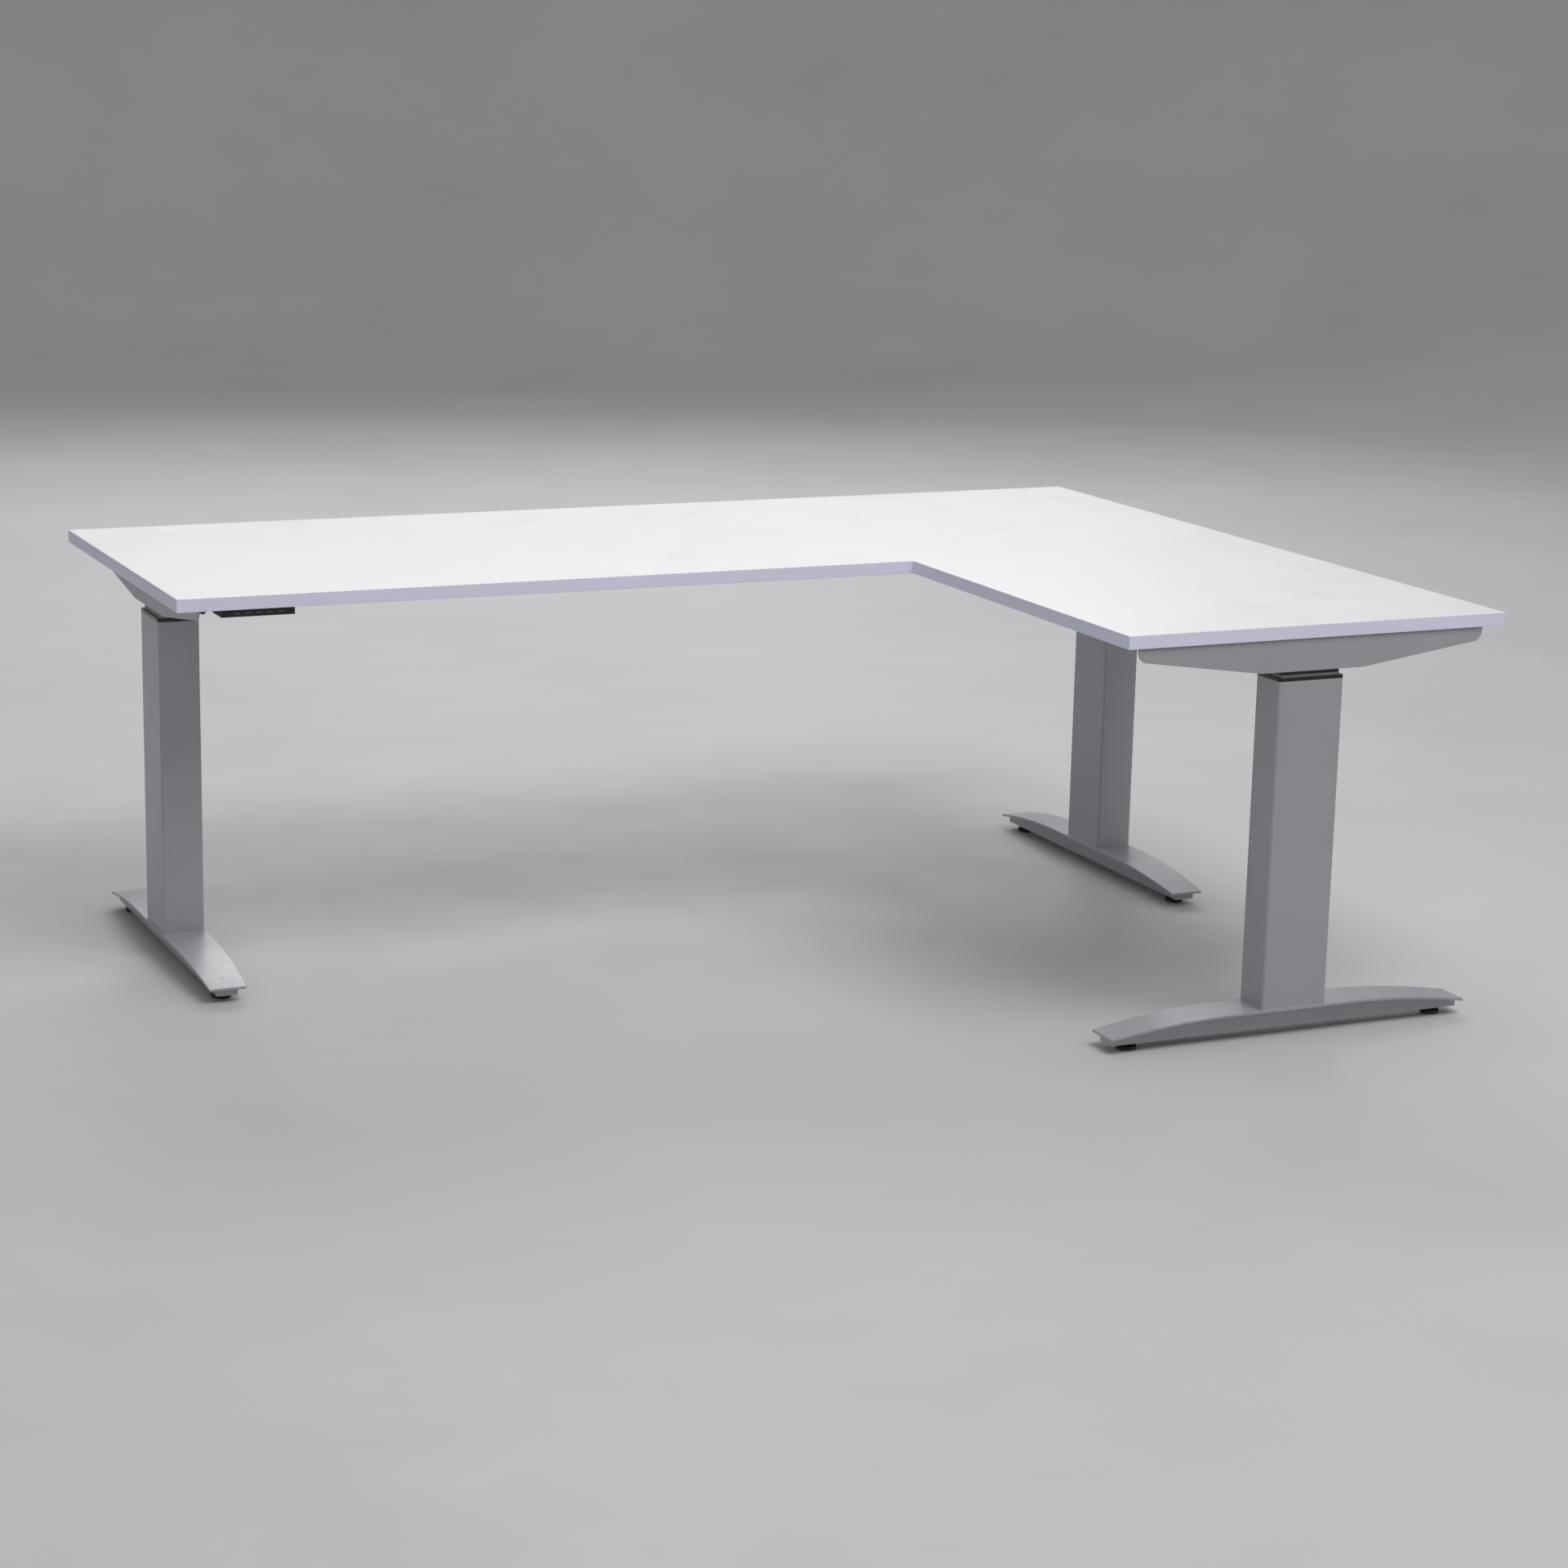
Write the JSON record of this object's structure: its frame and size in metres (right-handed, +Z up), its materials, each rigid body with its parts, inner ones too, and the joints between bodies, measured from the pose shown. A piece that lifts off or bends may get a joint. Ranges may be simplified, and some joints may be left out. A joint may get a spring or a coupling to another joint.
{
  "type": "height adjustable corner desk",
  "caption": "L-shaped white desktop on telescopic lift columns with bowed steel feet, flanged arms, beams, control box and keyed handset.",
  "frame": {"origin": "on the floor, under the middle of the desk's box", "axes": "+X along the main run towards the return, +Y to the wall side, +Z up; drawn with the columns closed"},
  "size_m": [2, 1.5, 0.68],
  "materials": {
    "melamine": "white melamine face, fine low-sheen texture",
    "edge_tape": "pale grey plastic edging, satin",
    "powder_coat": "silver-grey powder coat, fine texture, satin",
    "black_plastic": "black moulded plastic, satin",
    "key_plastic": "dark grey moulded keys, satin",
    "glide_plastic": "black moulded plastic, scuffed",
    "nut_plastic": "off-white bearing plastic",
    "bright_steel": "bright turned steel, lightly oiled",
    "motor_steel": "dark grey enamel",
    "fastener_steel": "zinc plated",
    "circuit_board": "green circuit board with components"
  },
  "bodies": {
    "base": {"foot_left": "powder_coat", "foot_right": "powder_coat", "foot_return": "powder_coat", "outer_tube_left": "powder_coat", "outer_tube_right": "powder_coat", "outer_tube_return": "powder_coat", "outer_rings": "black_plastic", "base_screws": "bright_steel", "foot_bolts": "fastener_steel"},
    "desktop": {"desktop_board": "melamine", "edge_banding": "edge_tape", "arm_left": "powder_coat", "arm_right": "powder_coat", "arm_return": "powder_coat", "main_beam": "powder_coat", "return_beam": "powder_coat", "inner_tube_left": "powder_coat", "inner_tube_right": "powder_coat", "inner_tube_return": "powder_coat", "motor_left": "motor_steel", "motor_right": "motor_steel", "motor_return": "motor_steel", "lift_nuts": "nut_plastic", "inner_shoes": "black_plastic", "head_bolts": "fastener_steel", "beam_bolts": "fastener_steel", "board_screws": "fastener_steel", "control_box": "black_plastic", "control_box_cover": "black_plastic", "control_board": "circuit_board", "mains_inlet": "black_plastic", "handset_case": "black_plastic", "handset_board": "circuit_board", "cable_clip": "black_plastic"},
    "middle_left": {"middle_tube_left": "powder_coat", "middle_ring_left": "black_plastic", "middle_shoe_left": "black_plastic"},
    "screw_left": {"hollow_screw_left": "bright_steel"},
    "drive_left": {"drive_tube_left": "bright_steel"},
    "middle_right": {"middle_tube_right": "powder_coat", "middle_ring_right": "black_plastic", "middle_shoe_right": "black_plastic"},
    "screw_right": {"hollow_screw_right": "bright_steel"},
    "drive_right": {"drive_tube_right": "bright_steel"},
    "middle_return": {"middle_tube_return": "powder_coat", "middle_ring_return": "black_plastic", "middle_shoe_return": "black_plastic"},
    "screw_return": {"hollow_screw_return": "bright_steel"},
    "drive_return": {"drive_tube_return": "bright_steel"},
    "glide_left_front": {"glide_left_front": "glide_plastic"},
    "glide_left_back": {"glide_left_back": "glide_plastic"},
    "glide_right_front": {"glide_right_front": "glide_plastic"},
    "glide_right_back": {"glide_right_back": "glide_plastic"},
    "glide_return_left": {"glide_return_left": "glide_plastic"},
    "glide_return_right": {"glide_return_right": "glide_plastic"},
    "key_down": {"key_down": "key_plastic"},
    "key_up": {"key_up": "key_plastic"},
    "key_1": {"key_1": "key_plastic"},
    "key_2": {"key_2": "key_plastic"},
    "key_3": {"key_3": "key_plastic"}
  },
  "joints": [
    {"name": "lift", "type": "slide", "parent": "base", "child": "desktop", "axis": [0, 0, 1], "range_m": [0, 0.65]},
    {"name": "middle_slide_left", "type": "slide", "parent": "base", "child": "middle_left", "axis": [0, 0, 1], "range_m": [0, 0.325]},
    {"name": "screw_turn_left", "type": "hinge", "parent": "middle_left", "child": "screw_left", "pos_m": [-0.92, 0.358, 0.25], "axis": [0, 0, 1], "continuous": true},
    {"name": "drive_turn_left", "type": "hinge", "parent": "desktop", "child": "drive_left", "pos_m": [-0.92, 0.358, 0.3], "axis": [0, 0, 1], "continuous": true},
    {"name": "middle_slide_right", "type": "slide", "parent": "base", "child": "middle_right", "axis": [0, 0, 1], "range_m": [0, 0.325]},
    {"name": "screw_turn_right", "type": "hinge", "parent": "middle_right", "child": "screw_right", "pos_m": [0.898, 0.358, 0.25], "axis": [0, 0, 1], "continuous": true},
    {"name": "drive_turn_right", "type": "hinge", "parent": "desktop", "child": "drive_right", "pos_m": [0.898, 0.358, 0.3], "axis": [0, 0, 1], "continuous": true},
    {"name": "middle_slide_return", "type": "slide", "parent": "base", "child": "middle_return", "axis": [0, 0, 1], "range_m": [0, 0.325]},
    {"name": "screw_turn_return", "type": "hinge", "parent": "middle_return", "child": "screw_return", "pos_m": [0.64, -0.71, 0.25], "axis": [0, 0, 1], "continuous": true},
    {"name": "drive_turn_return", "type": "hinge", "parent": "desktop", "child": "drive_return", "pos_m": [0.64, -0.71, 0.3], "axis": [0, 0, 1], "continuous": true},
    {"name": "glide_left_front_level", "type": "slide", "parent": "base", "child": "glide_left_front", "axis": [0, 0, -1], "range_m": [0, 0.008]},
    {"name": "glide_left_back_level", "type": "slide", "parent": "base", "child": "glide_left_back", "axis": [0, 0, -1], "range_m": [0, 0.008]},
    {"name": "glide_right_front_level", "type": "slide", "parent": "base", "child": "glide_right_front", "axis": [0, 0, -1], "range_m": [0, 0.008]},
    {"name": "glide_right_back_level", "type": "slide", "parent": "base", "child": "glide_right_back", "axis": [0, 0, -1], "range_m": [0, 0.008]},
    {"name": "glide_return_left_level", "type": "slide", "parent": "base", "child": "glide_return_left", "axis": [0, 0, -1], "range_m": [0, 0.008]},
    {"name": "glide_return_right_level", "type": "slide", "parent": "base", "child": "glide_return_right", "axis": [0, 0, -1], "range_m": [0, 0.008]},
    {"name": "key_down_press", "type": "slide", "parent": "desktop", "child": "key_down", "axis": [0, 1, 0], "range_m": [0, 0.0006], "stiffness_N_per_m": 1500, "springref_m": -0.0004},
    {"name": "key_up_press", "type": "slide", "parent": "desktop", "child": "key_up", "axis": [0, 1, 0], "range_m": [0, 0.0006], "stiffness_N_per_m": 1500, "springref_m": -0.0004},
    {"name": "key_1_press", "type": "slide", "parent": "desktop", "child": "key_1", "axis": [0, 1, 0], "range_m": [0, 0.0006], "stiffness_N_per_m": 1500, "springref_m": -0.0004},
    {"name": "key_2_press", "type": "slide", "parent": "desktop", "child": "key_2", "axis": [0, 1, 0], "range_m": [0, 0.0006], "stiffness_N_per_m": 1500, "springref_m": -0.0004},
    {"name": "key_3_press", "type": "slide", "parent": "desktop", "child": "key_3", "axis": [0, 1, 0], "range_m": [0, 0.0006], "stiffness_N_per_m": 1500, "springref_m": -0.0004}
  ],
  "couplings": [
    {"joint": "middle_slide_left", "follows": "lift", "ratio": 0.5},
    {"joint": "screw_turn_left", "follows": "lift", "rad_per_m": 392.7},
    {"joint": "drive_turn_left", "follows": "lift", "rad_per_m": 392.7},
    {"joint": "middle_slide_right", "follows": "lift", "ratio": 0.5},
    {"joint": "screw_turn_right", "follows": "lift", "rad_per_m": 392.7},
    {"joint": "drive_turn_right", "follows": "lift", "rad_per_m": 392.7},
    {"joint": "middle_slide_return", "follows": "lift", "ratio": 0.5},
    {"joint": "screw_turn_return", "follows": "lift", "rad_per_m": 392.7},
    {"joint": "drive_turn_return", "follows": "lift", "rad_per_m": 392.7}
  ]
}
